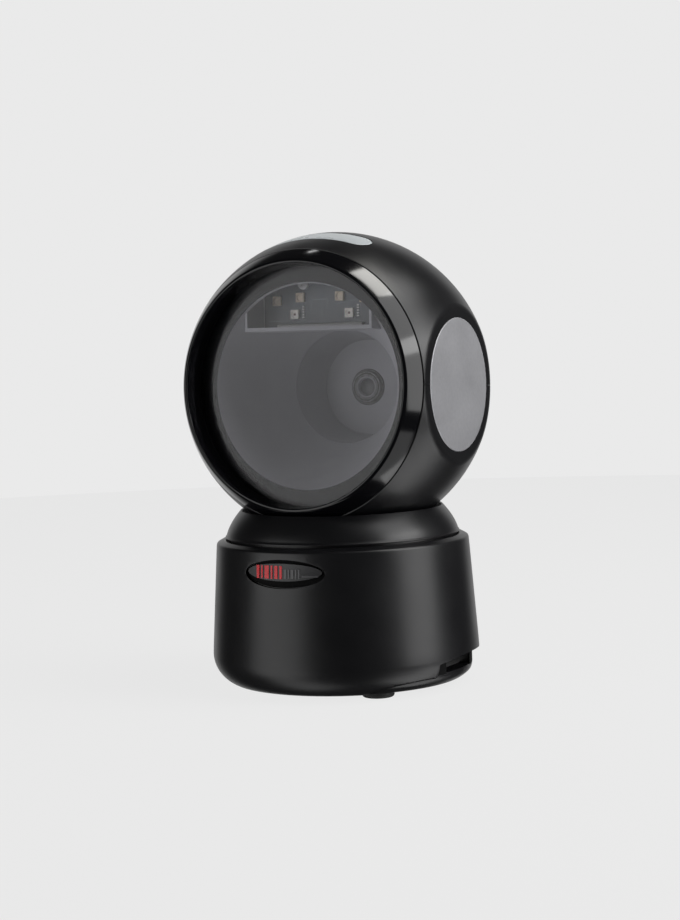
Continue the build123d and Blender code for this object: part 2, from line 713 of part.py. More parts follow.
def write_head():
    upper, lower = head_shells()
    rear = PANE_Y + PANE_T
    pane = along_y((PANE_Y, rear), PANE_R)
    mask = along_y((rear, rear + MASK_T), PANE_R) - along_y((-40, 0), CLEAR_R)
    disc = side_disc()
    nodes = {
        "head_upper_shell": upper,
        "head_lower_shell": lower,
        "front_bezel": front_bezel(),
        "window_pane": pane,
        "window_border": mask,
        "optical_chamber": optical_chamber(),
        "led_board": led_board(),
        "leds_white": led_group(LEDS_WHITE),
        "leds_amber": led_group(LEDS_AMBER),
        "led_resistors": led_resistors(),
        "led_board_screws": led_screws(),
        "light_bar": light_bar(),
        "camera_tube": camera_tube(),
        "lens_barrel": lens_barrel(),
        "lens_glass": lens_glass(),
        "camera_board": camera_board(),
        "image_sensor": image_sensor(),
        "board_standoffs": board_standoffs(),
        "decoder_board": decoder_board(),
        "decoder_screws": decoder_screws(),
        "decoder_chips": decoder_chips(),
        "beeper": beeper(),
        "head_lead_socket": head_lead_socket(),
        "indicator_lens": indicator_lens(),
        "indicator_board": indicator_board(),
        "indicator_leds": indicator_leds(),
        "side_disc_right": disc,
        "side_disc_left": mirror(disc, Plane.YZ),
        "pivot_bushes": both_sides(pivot_bush),
        "shell_screws": shell_screws(),
        "head_lead": tube(HEAD_LEAD, LEAD_R),
    }
    for name, shape in nodes.items():
        shapes = shape if isinstance(shape, list) else [shape]
        save(name, [on_head(s) for s in shapes])


write_base()
write_head()
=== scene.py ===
import json
from math import atan2, cos, pi, radians, sin, sqrt, tan

import bmesh
import bpy
from mathutils import Matrix, Vector


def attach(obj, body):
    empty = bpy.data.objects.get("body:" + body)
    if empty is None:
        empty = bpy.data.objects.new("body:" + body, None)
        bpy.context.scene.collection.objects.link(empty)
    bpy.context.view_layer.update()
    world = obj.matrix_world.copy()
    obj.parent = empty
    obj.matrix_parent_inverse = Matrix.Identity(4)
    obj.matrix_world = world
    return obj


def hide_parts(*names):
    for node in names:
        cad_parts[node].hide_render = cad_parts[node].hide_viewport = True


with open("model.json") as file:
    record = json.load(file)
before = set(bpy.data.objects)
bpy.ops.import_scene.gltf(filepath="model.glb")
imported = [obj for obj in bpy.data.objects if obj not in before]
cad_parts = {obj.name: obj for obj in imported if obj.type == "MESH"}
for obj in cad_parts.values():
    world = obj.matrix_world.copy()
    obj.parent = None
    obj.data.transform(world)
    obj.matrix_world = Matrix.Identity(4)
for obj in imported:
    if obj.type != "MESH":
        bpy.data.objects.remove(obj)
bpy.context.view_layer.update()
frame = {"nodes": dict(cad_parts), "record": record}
record = frame["record"]
ball = Vector(record["behaviour"]["joints"][0]["pos_m"])
MM = 0.001
GRAIN_DEPTH = 0.02 * MM


# ---------------------------------------------------------------- node helpers
def new_material(name):
    """New material with its node tree and its Principled shader."""
    material = bpy.data.materials.new(name)
    material.use_nodes = True
    tree = material.node_tree
    return material, tree, tree.nodes["Principled BSDF"]


def noise(tree, place, scale, detail):
    """Noise value in object space."""
    texture = tree.nodes.new("ShaderNodeTexNoise")
    texture.inputs["Scale"].default_value = scale
    texture.inputs["Detail"].default_value = detail
    tree.links.new(place.outputs["Object"], texture.inputs["Vector"])
    return texture.outputs["Fac"]


def spread(tree, source, low, high):
    """Map a noise value, mostly between 0.3 and 0.7, to the range low to high."""
    remap = tree.nodes.new("ShaderNodeMapRange")
    remap.inputs["From Min"].default_value = 0.3
    remap.inputs["From Max"].default_value = 0.7
    remap.inputs["To Min"].default_value = low
    remap.inputs["To Max"].default_value = high
    tree.links.new(source, remap.inputs["Value"])
    return remap.outputs["Result"]


def mottled(tree, place, shader, colour, amount, scale):
    """Vary the base colour's brightness by the share amount, in soft clouds."""
    mix = tree.nodes.new("ShaderNodeMix")
    mix.data_type = "RGBA"
    mix.inputs["A"].default_value = (*(c * (1 - amount) for c in colour), 1)
    mix.inputs["B"].default_value = (*(c * (1 + amount) for c in colour), 1)
    tree.links.new(noise(tree, place, scale, 4), mix.inputs["Factor"])
    tree.links.new(mix.outputs["Result"], shader.inputs["Base Color"])


def surface(name, colour, roughness, grain, grain_scale, vary, metallic=0.0, specular=0.5,
            mottle=0.1, mottle_scale=150.0):
    """Material with fine grain as bump and slow changes of roughness and colour.

    The roughness changes by vary either way, and the colour by its share mottle.
    """
    material, tree, shader = new_material(name)
    shader.inputs["Base Color"].default_value = (*colour, 1)
    shader.inputs["Roughness"].default_value = roughness
    shader.inputs["Metallic"].default_value = metallic
    shader.inputs["Specular IOR Level"].default_value = specular
    place = tree.nodes.new("ShaderNodeTexCoord")
    slow = noise(tree, place, 60, 4)
    tree.links.new(spread(tree, slow, roughness - vary, roughness + vary), shader.inputs["Roughness"])
    mottled(tree, place, shader, colour, mottle, mottle_scale)
    bump = tree.nodes.new("ShaderNodeBump")
    bump.inputs["Strength"].default_value = grain
    bump.inputs["Distance"].default_value = GRAIN_DEPTH
    tree.links.new(noise(tree, place, grain_scale, 3), bump.inputs["Height"])
    tree.links.new(bump.outputs["Normal"], shader.inputs["Normal"])
    return material


# ---------------------------------------------------------------- materials
# One for each of the record's slots: name, colour, roughness, grain, grain scale and vary. The
# window's glass follows below.
MATERIALS = {
    "satin_black_plastic": surface("satin_black", (0.006, 0.006, 0.007), 0.34, 0.4, 2600, 0.03,
                                   mottle=0.2),
    "gloss_black_plastic": surface("gloss_black", (0.003, 0.003, 0.004), 0.11, 0.03, 900, 0.02,
                                   mottle=0.2),
    "silver_disc": surface("silver_disc", (0.43, 0.43, 0.45), 0.45, 0.9, 2400, 0.06,
                           metallic=0.5, mottle=0.12, mottle_scale=900),
    "black_print": surface("black_print", (0.003, 0.003, 0.004), 0.6, 0.05, 400, 0.03,
                           specular=0.1, mottle=0.2),
    "chamber_plastic": surface("chamber_grey", (0.34, 0.34, 0.37), 0.6, 0.08, 500, 0.05,
                               specular=0.2),
    "circuit_board": surface("circuit_board", (0.022, 0.035, 0.05), 0.4, 0.3, 1500, 0.05,
                             mottle=0.3, mottle_scale=500),
    "chip_black": surface("chip", (0.02, 0.02, 0.022), 0.5, 0.3, 1800, 0.05, mottle=0.2),
    "led_white": surface("led_white", (0.9, 0.86, 0.8), 0.35, 0.2, 1200, 0.05),
    "led_amber": surface("led_beige", (0.55, 0.46, 0.35), 0.35, 0.2, 1200, 0.05,
                         mottle=0.5, mottle_scale=1500),
    "light_guide": surface("light_bar", (0.3, 0.3, 0.3), 0.3, 0.2, 1200, 0.05, mottle=0.2),
    "indicator_plastic": surface("indicator_strip", (0.6, 0.64, 0.66), 0.3, 0.1, 1200, 0.04,
                                 mottle=0.08),
    "lens_black": surface("lens_black", (0.012, 0.012, 0.013), 0.4, 0.3, 1800, 0.05, mottle=0.2),
    "lens_glass": surface("lens_coating", (0.01, 0.008, 0.02), 0.3, 0.02, 800, 0.03, mottle=0.2),
    "steel": surface("zinc_steel", (0.55, 0.55, 0.56), 0.32, 0.3, 1800, 0.06,
                     metallic=1.0, mottle=0.08),
    "brass": surface("brass", (0.65, 0.48, 0.2), 0.3, 0.2, 1800, 0.05, metallic=1.0, mottle=0.08),
    "rubber": surface("rubber", (0.015, 0.015, 0.015), 0.7, 0.6, 1500, 0.08, mottle=0.2),
    "ballast_iron": surface("cast_iron", (0.12, 0.12, 0.12), 0.6, 0.8, 900, 0.1,
                            metallic=0.7, mottle=0.2),
    "engineering_plastic": surface("bearing_plastic", (0.55, 0.54, 0.5), 0.45, 0.3, 1500, 0.05,
                                   mottle=0.08),
    "badge_grey": surface("badge_grey", (0.02, 0.02, 0.022), 0.35, 0.4, 2400, 0.05, mottle=0.2),
    "badge_red": surface("badge_red", (0.85, 0.01, 0.02), 0.3, 0.1, 1800, 0.04, mottle=0.08),
    "badge_silver": surface("badge_silver", (0.09, 0.09, 0.095), 0.3, 0.1, 1800, 0.04),
    "jack_plastic": surface("jack_plastic", (0.012, 0.012, 0.012), 0.3, 0.2, 1500, 0.05,
                            mottle=0.2),
    "lead_jacket": surface("lead_jacket", (0.02, 0.02, 0.02), 0.5, 0.4, 1500, 0.06, mottle=0.2),
}
# Extra finishes for pieces that look different from the rest of their slot; some of them are painted shade.
# Darker, duller black that paints the shade in the badge recess and the service notch.
SHADE_BLACK = surface("painted_shade_black", (0.003, 0.003, 0.003), 0.75, 0.6, 1800, 0.05,
                     specular=0.15, mottle=0.3)
# Darker grey that paints the shade on the tube's wall.
TUBE_SHADE_GREY = surface("painted_shade_tube_grey", (0.29, 0.29, 0.32), 0.6, 0.08, 500, 0.05, specular=0.2)
BARREL_GREY = surface("barrel_grey", (0.42, 0.42, 0.45), 0.5, 0.08, 500, 0.05, specular=0.2)
DIE = surface("led_die", (0.12, 0.03, 0.02), 0.3, 0.1, 1500, 0.05, mottle=0.2)
SOLDER = surface("solder_ends", (0.7, 0.7, 0.68), 0.35, 0.2, 1500, 0.05, mottle=0.2)
TRACK = surface("lacquered_track", (0.075, 0.1, 0.12), 0.35, 0.2, 1500, 0.05, mottle=0.2)


def window_glass():
    """Clear pane with its gloss in the coat; lamps shine through it onto what is behind."""
    material, tree, shader = new_material("window_glass")
    nodes, links = tree.nodes, tree.links
    shader.inputs["Base Color"].default_value = (0.96, 0.96, 0.98, 1)
    shader.inputs["Roughness"].default_value = 0.0
    shader.inputs["IOR"].default_value = 1.01
    shader.inputs["Transmission Weight"].default_value = 1.0
    shader.inputs["Coat Weight"].default_value = 1.0
    shader.inputs["Coat Roughness"].default_value = 0.12
    shader.inputs["Coat IOR"].default_value = 1.34
    clear = nodes.new("ShaderNodeBsdfTransparent")
    path = nodes.new("ShaderNodeLightPath")
    mix = nodes.new("ShaderNodeMixShader")
    links.new(path.outputs["Is Shadow Ray"], mix.inputs[0])
    links.new(shader.outputs[0], mix.inputs[1])
    links.new(clear.outputs[0], mix.inputs[2])
    links.new(mix.outputs[0], nodes["Material Output"].inputs["Surface"])
    return material


MATERIALS["window_glass"] = window_glass()


def dress_cad_nodes():
    """Give each CAD node the material of its slot, and the resistors their solder."""
    for part in record["subparts"]:
        node = frame["nodes"][part["node"]]
        node.data.materials.clear()
        node.data.materials.append(MATERIALS[part["material_slot"]])
    frame["nodes"]["led_resistors"].data.materials[0] = SOLDER


# ---------------------------------------------------------------- mesh helpers
# Profiles and outlines are in millimetres, as in the CAD; on the head they start at the ball's centre.
HEAD_TILT = 3.0
BALL_R = 50.0
ON_BASE = Matrix.Scale(MM, 4)
ON_HEAD = Matrix.Translation(ball) @ Matrix.Rotation(radians(-HEAD_TILT), 4, "X") @ ON_BASE
ABOUT_Y = Matrix.Rotation(radians(-90), 4, "X")
ABOUT_X = Matrix.Rotation(radians(90), 4, "Y")


def add_piece(name, builder, place, body, node, slot, sharp=32):
    """Turn a bmesh into a shaded piece on a body; with a node, it stands for that CAD node."""
    builder.transform(place)
    bmesh.ops.recalc_face_normals(builder, faces=builder.faces)
    mesh = bpy.data.meshes.new(name)
    builder.to_mesh(mesh)
    builder.free()
    piece = bpy.data.objects.new(name, mesh)
    bpy.context.scene.collection.objects.link(piece)
    finish_piece(piece, body, node, slot, sharp)
    return piece


def finish_piece(piece, body, node, slot, sharp):
    """Shade a piece, give it the material of its slot, put it on its body, and hide the CAD node it stands
    for.
    """
    piece.data.shade_smooth()
    piece.data.set_sharp_from_angle(angle=radians(sharp))
    piece.data.materials.clear()
    piece.data.materials.append(MATERIALS[slot])
    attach(piece, body)
    if node:
        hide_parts(node)


def rounded(corners, steps=6):
    """Closed outline from (x, y, radius) corners, each corner with a radius drawn as an arc."""
    points = []
    for i, (x, y, radius) in enumerate(corners):
        here = Vector((x, y))
        back = (Vector(corners[i - 1][:2]) - here).normalized()
        ahead = (Vector(corners[(i + 1) % len(corners)][:2]) - here).normalized()
        if not radius:
            points.append(here)
            continue
        half = back.angle(ahead) / 2
        middle = here + (back + ahead).normalized() * (radius / sin(half))
        start = here + back * (radius / tan(half)) - middle
        end = here + ahead * (radius / tan(half)) - middle
        turn = start.angle_signed(end)
        for k in range(steps + 1):
            points.append(middle + Matrix.Rotation(-turn * k / steps, 2) @ start)
    return points


def lathe(builder, profile, steps=224):
    """Add a closed profile of (radius, height) points, turned about Z."""
    rings = []
    for radius, height in profile:
        turns = [2 * pi * k / steps for k in range(steps)]
        if radius == 0:
            rings.append([builder.verts.new((0, 0, height))] * steps)
        else:
            rings.append([builder.verts.new((radius * cos(a), radius * sin(a), height)) for a in turns])
    for low, high in zip(rings, rings[1:] + rings[:1]):
        for k in range(steps):
            corners = [low[k], low[(k + 1) % steps], high[(k + 1) % steps], high[k]]
            corners = list(dict.fromkeys(corners))
            if len(corners) > 2:
                builder.faces.new(corners)


def stack(builder, outlines, cap_end=True):
    """Skin between outlines with equal numbers of points, closed at the start and, if asked, the end."""
    rings = [[builder.verts.new(point) for point in outline] for outline in outlines]
    count = len(rings[0])
    for low, high in zip(rings, rings[1:]):
        for k in range(count):
            builder.faces.new((low[k], low[(k + 1) % count], high[(k + 1) % count], high[k]))
    builder.faces.new(rings[0])
    if cap_end:
        builder.faces.new(rings[-1])


# ---------------------------------------------------------------- head pieces
# The same sizes as in the CAD's head.
PANE_Y = -23.5
PANE_BACK_Y = -21.5
TUBE_R = 18.8
TUBE_Y = 6.0
BARREL_Y = 20.6
TUBE_FLOOR_Y = 22.0
LED_BOARD_Y = -10.5
LED_T = 0.9
LEDS_WHITE = [(-9.4, 23.3), (10.3, 23.3)]
LEDS_AMBER = [(-16.0, 27.8), (-7.4, 28.7), (6.9, 28.7), (15.6, 28.0)]


def make_bezel():
    """Glossy ring that follows the ball, with a rounded crest and a soft rear edge."""
    crest = [(37.9, PANE_Y, 0), (38.55, -31.05, 0.5)]
    angles = [radians(52.6 + 0.5 * k) for k in range(14)]
    outer = [(BALL_R * sin(a), -BALL_R * cos(a), 0) for a in angles]
    rear = [(42.98, -25.55, 0), (42.8, -25.2, 0.2), (40.5, -25.2, 0), (40.4, -19.6, 0),
            (39.05, -19.6, 0), (39.05, PANE_Y, 0)]
    builder = bmesh.new()
    lathe(builder, rounded(crest + outer + rear, 8), 288)
    add_piece("bezel_ring", builder, ON_HEAD @ ABOUT_Y, "head", "front_bezel", "gloss_black_plastic", 40)


def make_pane():
    """Round window pane with eased edges; diffuse bounces pass it, so that the head's inside is lit."""
    radius, ease = 38.85, 0.1
    outline = [(0, PANE_Y, 0), (radius, PANE_Y, ease), (radius, PANE_BACK_Y, ease), (0, PANE_BACK_Y, 0)]
    builder = bmesh.new()
    lathe(builder, rounded(outline))
    pane = add_piece("window_disc", builder, ON_HEAD @ ABOUT_Y, "head", "window_pane", "window_glass")
    pane.visible_diffuse = False


def make_side_discs():
    """Silver discs with a rounded rim."""
    low, high, radius, rim = 42.3, 43.55, 21.2, 0.35
    outline = rounded([(0, low, 0), (radius, low, 0), (radius, high, rim), (0, high, 0)])
    for name, side in (("side_disc_right", 1), ("side_disc_left", -1)):
        builder = bmesh.new()
        lathe(builder, outline, 160)
        turn = ABOUT_X @ Matrix.Scale(side, 4, (0, 0, 1))
        add_piece(name + "_skin", builder, ON_HEAD @ turn, "head", name, "silver_disc")


def stadium(length, width, inset, count=24):
    """Outline with half-round ends, moved inwards by inset."""
    r = width / 2 - inset
    reach = (length - width) / 2
    spots = []
    for side in (1, -1):
        for k in range(count + 1):
            a = pi * k / count - pi / 2
            spots.append((side * (reach + r * cos(a)), side * r * sin(a)))
        for k in range(1, count):
            spots.append((side * reach * (1 - 2 * k / count), side * r))
    return spots


def make_strip():
    """Indicator strip that follows the ball and has a rounded edge."""
    length, width, tilt = 37.7, 9.4, 15.2
    top = BALL_R - 0.03
    edge = [(0, 47.9), (0, 49.45), (0.05, 49.65), (0.16, 49.82), (0.35, 49.93)]
    crown = [(inset, top) for inset in (0.6, 1.2, 2.0, 3.0, 3.9, width / 2)]
    outlines = []
    for inset, radius in edge + crown:
        flat = stadium(length, width, inset)
        outlines.append([(x, y, sqrt(radius ** 2 - x * x - y * y)) for x, y in flat])
    builder = bmesh.new()
    stack(builder, outlines, cap_end=False)
    bmesh.ops.remove_doubles(builder, verts=builder.verts, dist=0.001)
    place = ON_HEAD @ Matrix.Rotation(radians(tilt), 4, "X")
    add_piece("indicator_strip", builder, place, "head", "indicator_lens", "indicator_plastic")


def make_tube_shade_sheet():
    """Darker grey sheet on the wall of the tube between the funnel and the lens: painted shade inside the
    tube.
    """
    end_r, wall = 15.9, 0.15
    end_y = TUBE_FLOOR_Y - 0.05
    outline = [(TUBE_R, TUBE_Y, 0), (end_r, end_y, 0), (end_r - wall, end_y, 0), (TUBE_R - wall, TUBE_Y, 0)]
    builder = bmesh.new()
    lathe(builder, rounded(outline), 160)
    shade_sheet = add_piece("tube_shade_sheet", builder, ON_HEAD @ ABOUT_Y, "head", None, "chamber_plastic")
    # Painted shade on the tube's wall.
    shade_sheet.data.materials[0] = TUBE_SHADE_GREY


def make_lens_barrel():
    """Stepped barrel around the lens, with rounded edges and a groove, and a thin dark ring at its foot
    that paints the shade around it.
    """
    mouth = [(2.4, 23.4, 0), (2.9, 22.9, 0), (2.9, 22.2, 0), (3.1, BARREL_Y, 0.15)]
    groove = [(4.3, BARREL_Y, 0.05), (4.4, BARREL_Y + 0.15, 0.05), (4.6, BARREL_Y + 0.15, 0.05),
              (4.7, BARREL_Y, 0.05)]
    outside = [(5.2, BARREL_Y, 0.2), (5.55, BARREL_Y + 0.45, 0.15), (5.55, TUBE_FLOOR_Y - 0.2, 0),
               (5.7, TUBE_FLOOR_Y, 0), (5.7, 25.5, 0), (2.4, 25.5, 0)]
    builder = bmesh.new()
    lathe(builder, rounded(mouth + groove + outside), 128)
    barrel = add_piece("barrel_ring", builder, ON_HEAD @ ABOUT_Y, "head", None, "lens_black")
    barrel.data.materials[0] = BARREL_GREY
    # Thin dark ring on the tube floor around the barrel: painted shade.
    front = TUBE_FLOOR_Y - 0.1
    foot_shade = [(5.75, front, 0.04), (6.1, front, 0.04), (6.1, TUBE_FLOOR_Y, 0), (5.75, TUBE_FLOOR_Y, 0)]
    builder = bmesh.new()
    lathe(builder, rounded(foot_shade), 128)
    add_piece("barrel_foot_shade", builder, ON_HEAD @ ABOUT_Y, "head", None, "lens_black")


def square_ring(half, corner, y, x, z):
    """Rounded square of 24 points around (x, z) at depth y."""
    spots = [(x - half, z - half, corner), (x + half, z - half, corner), (x + half, z + half, corner),
             (x - half, z + half, corner)]
    return [(p[0], y, p[1]) for p in rounded(spots, 5)]


def round_ring(radius, y, x, z):
    """Circle around (x, z) at depth y whose points match a square ring's."""
    count = 24
    turns = [2 * pi * (k + 0.5) / count - 3 * pi / 4 for k in range(count)]
    return [(x + radius * cos(a), y, z + radius * sin(a)) for a in turns]


def make_leds(name, node, slot, spots):
    """Square LED cases with rounded edges and a round well."""
    builder = bmesh.new()
    front = LED_BOARD_Y - LED_T
    for x, z in spots:
        rings = [square_ring(1.5, 0.2, LED_BOARD_Y, x, z), square_ring(1.5, 0.2, front + 0.12, x, z),
                 square_ring(1.4, 0.15, front, x, z), round_ring(1.12, front, x, z),
                 round_ring(1.0, front + 0.3, x, z)]
        stack(builder, rings)
    add_piece(name, builder, ON_HEAD, "head", node, slot)


def make_led_dies():
    """Small dark red-brown chip in the well of each white LED."""
    builder = bmesh.new()
    front = LED_BOARD_Y - LED_T
    for x, z in LEDS_WHITE:
        stack(builder, [square_ring(0.36, 0.08, front + 0.3, x, z),
                        square_ring(0.36, 0.08, front + 0.04, x, z),
                        square_ring(0.28, 0.05, front, x, z)])
    add_piece("led_dies", builder, ON_HEAD, "head", None, "led_amber").data.materials[0] = DIE


def bar(builder, start, end, width, y_front):
    """Thin flat bar on the LED board from start to end, given as (x, z)."""
    a, b = Vector(start), Vector(end)
    side = (b - a).orthogonal().normalized() * (width / 2)
    corners = [a + side, b + side, b - side, a - side]
    stack(builder, [[(p.x, y, p.y) for p in corners] for y in (LED_BOARD_Y, y_front)])


def make_traces():
    """Copper tracks under the board's lacquer and the printed lines beside the LEDs."""
    builder = bmesh.new()
    front = LED_BOARD_Y - 0.04
    for x, z in LEDS_WHITE + LEDS_AMBER:
        bar(builder, (x - 0.6, z + 1.6), (x - 0.6, z + 3.4), 0.35, front)
        bar(builder, (x + 0.6, z + 1.6), (x + 0.6, z + 2.6), 0.35, front)
    for low, high, x in ((24.9, 27.9, -3.6), (24.9, 27.9, 2.4), (22.0, 25.6, 0.2)):
        bar(builder, (x, low), (x, high), 0.3, front)
    bar(builder, (-3.6, 27.9), (2.4, 27.9), 0.3, front)
    bar(builder, (-19.5, 21.3), (-11.6, 21.3), 0.3, front)
    bar(builder, (12.6, 27.4), (5.2, 26.3), 0.3, front)
    add_piece("board_tracks", builder, ON_HEAD, "head", None, "circuit_board").data.materials[0] = TRACK


# ---------------------------------------------------------------- base pieces
# The same sizes as in the CAD's base; a cut is the azimuth that it rises towards, its height and rise.
BASE_TOP_R = 41.2
BASE_TOP_Z = 46.35
BASE_LOW_R = 43.55
CORNER_Z = 11.63
CORNER_R = 10.3
SEAM_CUT = (66.0, -11.9, 18.0)
NOTCH_CUT = (96.0, -3.95, 15.0)
NOTCH_AZ = (70.0, 140.0)
WALL = 2.2
BADGE_Z = 40.2
BADGE_HALF_W = 14.1
BADGE_HALF_H = 4.5
BADGE_DEPTH = 1.3


def side_radius(z):
    """Outer radius of the base's side wall at height z."""
    return BASE_LOW_R - (BASE_LOW_R - BASE_TOP_R) * (z - CORNER_Z) / (BASE_TOP_Z - CORNER_Z)


def cut_height(cut, x, y):
    """Height of a slanted cut over the point (x, y)."""
    azimuth, middle, rise = cut
    a = radians(azimuth)
    return middle + rise / BASE_LOW_R * (x * sin(a) - y * cos(a))


def prism(name, spots, cut):
    """Cutter with the given outline whose top lies on a slanted cut."""
    below = -60
    builder = bmesh.new()
    stack(builder, [[(x, y, below) for x, y in spots], [(x, y, cut_height(cut, x, y)) for x, y in spots]])
    return cutter(name, builder)


def cutter(name, builder):
    """Turn a bmesh into a shape that only the housing's cuts use."""
    builder.transform(ON_BASE)
    bmesh.ops.recalc_face_normals(builder, faces=builder.faces)
    mesh = bpy.data.meshes.new(name)
    builder.to_mesh(mesh)
    builder.free()
    shape = bpy.data.objects.new(name, mesh)
    bpy.context.scene.collection.objects.link(shape)
    return shape


def badge_ring(share, z_mid, half_w, half_h, depth):
    """Share of an ellipse, wrapped on the side wall at a depth below its surface."""
    count = 96
    ring = []
    for k in range(count):
        a = 2 * pi * k / count
        x, z = share * half_w * cos(a), z_mid + share * half_h * sin(a)
        ring.append((x, -sqrt((side_radius(z) - depth) ** 2 - x * x), z))
    return ring


def badge_cutter():
    """Elliptic plug whose inner face follows the side wall at the recess's depth."""
    in_front = -48
    outlines = []
    for share in (0.05, 0.25, 0.5, 0.75, 1.0):
        outlines.append(badge_ring(share, BADGE_Z, BADGE_HALF_W, BADGE_HALF_H, BADGE_DEPTH))
    outlines.append([(x, in_front, z) for x, y, z in outlines[-1]])
    builder = bmesh.new()
    stack(builder, outlines)
    return cutter("badge_cutter", builder)


def oval_plate(name, node, z_mid, half_w, half_h, depths):
    """Elliptic plate in the badge recess between two depths, with an eased front edge."""
    low, high = depths
    outlines = [badge_ring(share, z_mid, half_w, half_h, low) for share in (0.05, 0.5, 1.0)]
    outlines.append(badge_ring(1.0, z_mid, half_w, half_h, high + 0.1))
    outlines += [badge_ring(share, z_mid, half_w, half_h, high) for share in (0.99, 0.5, 0.05)]
    builder = bmesh.new()
    stack(builder, outlines)
    return add_piece(name, builder, ON_BASE, "base", node, "badge_grey")


def make_badge():
    """Raised badge face in a darker black well that paints the shade in the recess."""
    lift, clear = 0.55, 0.15
    oval_plate("badge_face", "badge_plate", BADGE_Z + lift, 13.2, 2.75, (1.2, 0.25))
    well = oval_plate("badge_well", None, BADGE_Z, BADGE_HALF_W - clear, BADGE_HALF_H - clear, (1.28, 1.15))
    # The well's darker black is painted shade in the recess.
    well.data.materials[0] = SHADE_BLACK


def housing_profile():
    """Outline of the housing's wall: shoulder, side, rounded lower edge and the inside."""
    lean = atan2(BASE_LOW_R - BASE_TOP_R, BASE_TOP_Z - CORNER_Z)
    mid = (BASE_LOW_R - CORNER_R * cos(lean), CORNER_Z - CORNER_R * sin(lean))
    shoulder = [(37.9, 45.8, 0), (37.9, 48.0, 0.3), (39.1, 47.95, 0.8), (41.12, 46.9, 1.0)]
    heights = [46 - 2.15 * k for k in range(1, 16)]
    side = [(side_radius(z), z, 0) for z in heights]
    turns = [radians(4.9 * k) - lean for k in range(1, 15)]
    low = [(mid[0] + CORNER_R * cos(a), mid[1] - CORNER_R * sin(a), 0) for a in turns]
    r = CORNER_R - WALL
    back = [(mid[0] + r * cos(a), mid[1] - r * sin(a), 0) for a in reversed(turns)]
    inside = [(BASE_LOW_R - WALL, CORNER_Z, 0), (BASE_TOP_R - WALL, 44.6, 0)]
    return rounded(shoulder + side + low + back + inside)


def make_housing():
    """Base shell with a soft shoulder; its slanted lower edge, notch and badge recess are cut out."""
    builder = bmesh.new()
    lathe(builder, housing_profile(), 256)
    shell = add_piece("housing_shell", builder, ON_BASE, "base", "base_housing", "satin_black_plastic")
    low, high = (radians(a) for a in NOTCH_AZ)
    far = 80
    square = [(-far, -far), (far, -far), (far, far), (-far, far)]
    wedge = [(0, 0), (far * sin(low), -far * cos(low)), (far, 0), (far * sin(high), -far * cos(high))]
    cutters = [prism("seam_cutter", square, SEAM_CUT), prism("notch_cutter", wedge, NOTCH_CUT),
               badge_cutter()]
    for shape in cutters:
        cut = shell.modifiers.new("cut", "BOOLEAN")
        cut.object = shape
        cut.solver = "EXACT"
    edge = shell.modifiers.new("edge", "BEVEL")
    edge.width = 0.35 * MM
    edge.segments = 3
    edge.limit_method = "ANGLE"
    edge.angle_limit = radians(40)
    bake(shell, cutters)


def bake(piece, cutters):
    """Apply a piece's modifiers and remove the shapes that they used."""
    bpy.context.view_layer.update()
    done = piece.evaluated_get(bpy.context.evaluated_depsgraph_get())
    mesh = bpy.data.meshes.new_from_object(done)
    piece.modifiers.clear()
    piece.data = mesh
    for shape in cutters:
        bpy.data.objects.remove(shape)
    mesh.shade_smooth()
    mesh.set_sharp_from_angle(angle=radians(32))


def curved_slab(builder, start, end, low):
    """Thin slab on the plate's wall, from one azimuth to another and from low to behind the housing."""
    wall_r, thick, tuck, steps = 41.05, 0.1, 0.4, 12
    outlines = []
    for k in range(steps + 1):
        a = radians(start + (end - start) * k / steps)
        (x0, y0), (x1, y1) = [(r * sin(a), -r * cos(a)) for r in (wall_r, wall_r + thick)]
        top = cut_height(NOTCH_CUT, x1, y1) + tuck
        outlines.append([(x0, y0, low), (x1, y1, low), (x1, y1, top), (x0, y0, top)])
    stack(builder, outlines)


def make_notch_shade_sheet():
    """Darker black sheet on the plate's wall in the service notch that paints the shade under the housing's
    edge; open at the cable outlet.
    """
    first, last = NOTCH_AZ[0] - 0.5, NOTCH_AZ[1] + 0.5
    outlet = (77.4, 102.6)
    notch_floor_z, outlet_top_z = 5.6, 10.6
    builder = bmesh.new()
    curved_slab(builder, first, outlet[0], notch_floor_z)
    curved_slab(builder, outlet[0], outlet[1], outlet_top_z)
    curved_slab(builder, outlet[1], last, notch_floor_z)
    shade_sheet = add_piece("notch_shade_sheet", builder, ON_BASE, "base", None, "satin_black_plastic")
    # Painted shade: the darker black stands for the shade in the notch.
    shade_sheet.data.materials[0] = SHADE_BLACK


def curve(start, middle, end, steps):
    """Points on the curve from start to end that leaves and arrives in the direction of middle."""
    points = []
    for k in range(steps + 1):
        t = k / steps
        shares = ((1 - t) ** 2, 2 * t * (1 - t), t ** 2)
        points.append(tuple(sum(s * p[i] for s, p in zip(shares, (start, middle, end))) for i in (0, 1)))
    return points


def make_collar():
    """Domed collar under the ball with a rounded mouth and lip."""
    dome = [(r, z, 0) for r, z in curve((33.0, 57.35), (36.8, 53.1), (37.85, 49.25), 14)]
    mouth = [(32.5, 53.0, 0), (32.5, 57.2, 0.3)]
    lip = [(38.2, 48.9, 0.15), (38.15, 48.55, 0.1), (37.4, 48.55, 0), (37.4, 43.0, 0), (35.4, 43.0, 0),
           (35.4, 51.0, 0), (29.5, 51.0, 0), (29.5, 53.0, 0)]
    builder = bmesh.new()
    lathe(builder, rounded(mouth + dome + lip), 256)
    add_piece("collar_dome", builder, ON_BASE, "base", "collar", "satin_black_plastic", 40)


# ---------------------------------------------------------------- camera, light and floor
CAMERA_DISTANCE = 0.6726
CAMERA_AZIMUTH = 27.9
CAMERA_ELEVATION = 2.0
CAMERA_ROLL = -1.97
CAMERA_AIM_BELOW_BALL = 0.0240
CAMERA_LENS = 80.8


def direction(azimuth, elevation):
    """Unit vector towards an azimuth, counted from the front (-Y) to +X, and an elevation."""
    a, e = radians(azimuth), radians(elevation)
    return Vector((sin(a) * cos(e), -cos(a) * cos(e), sin(e)))


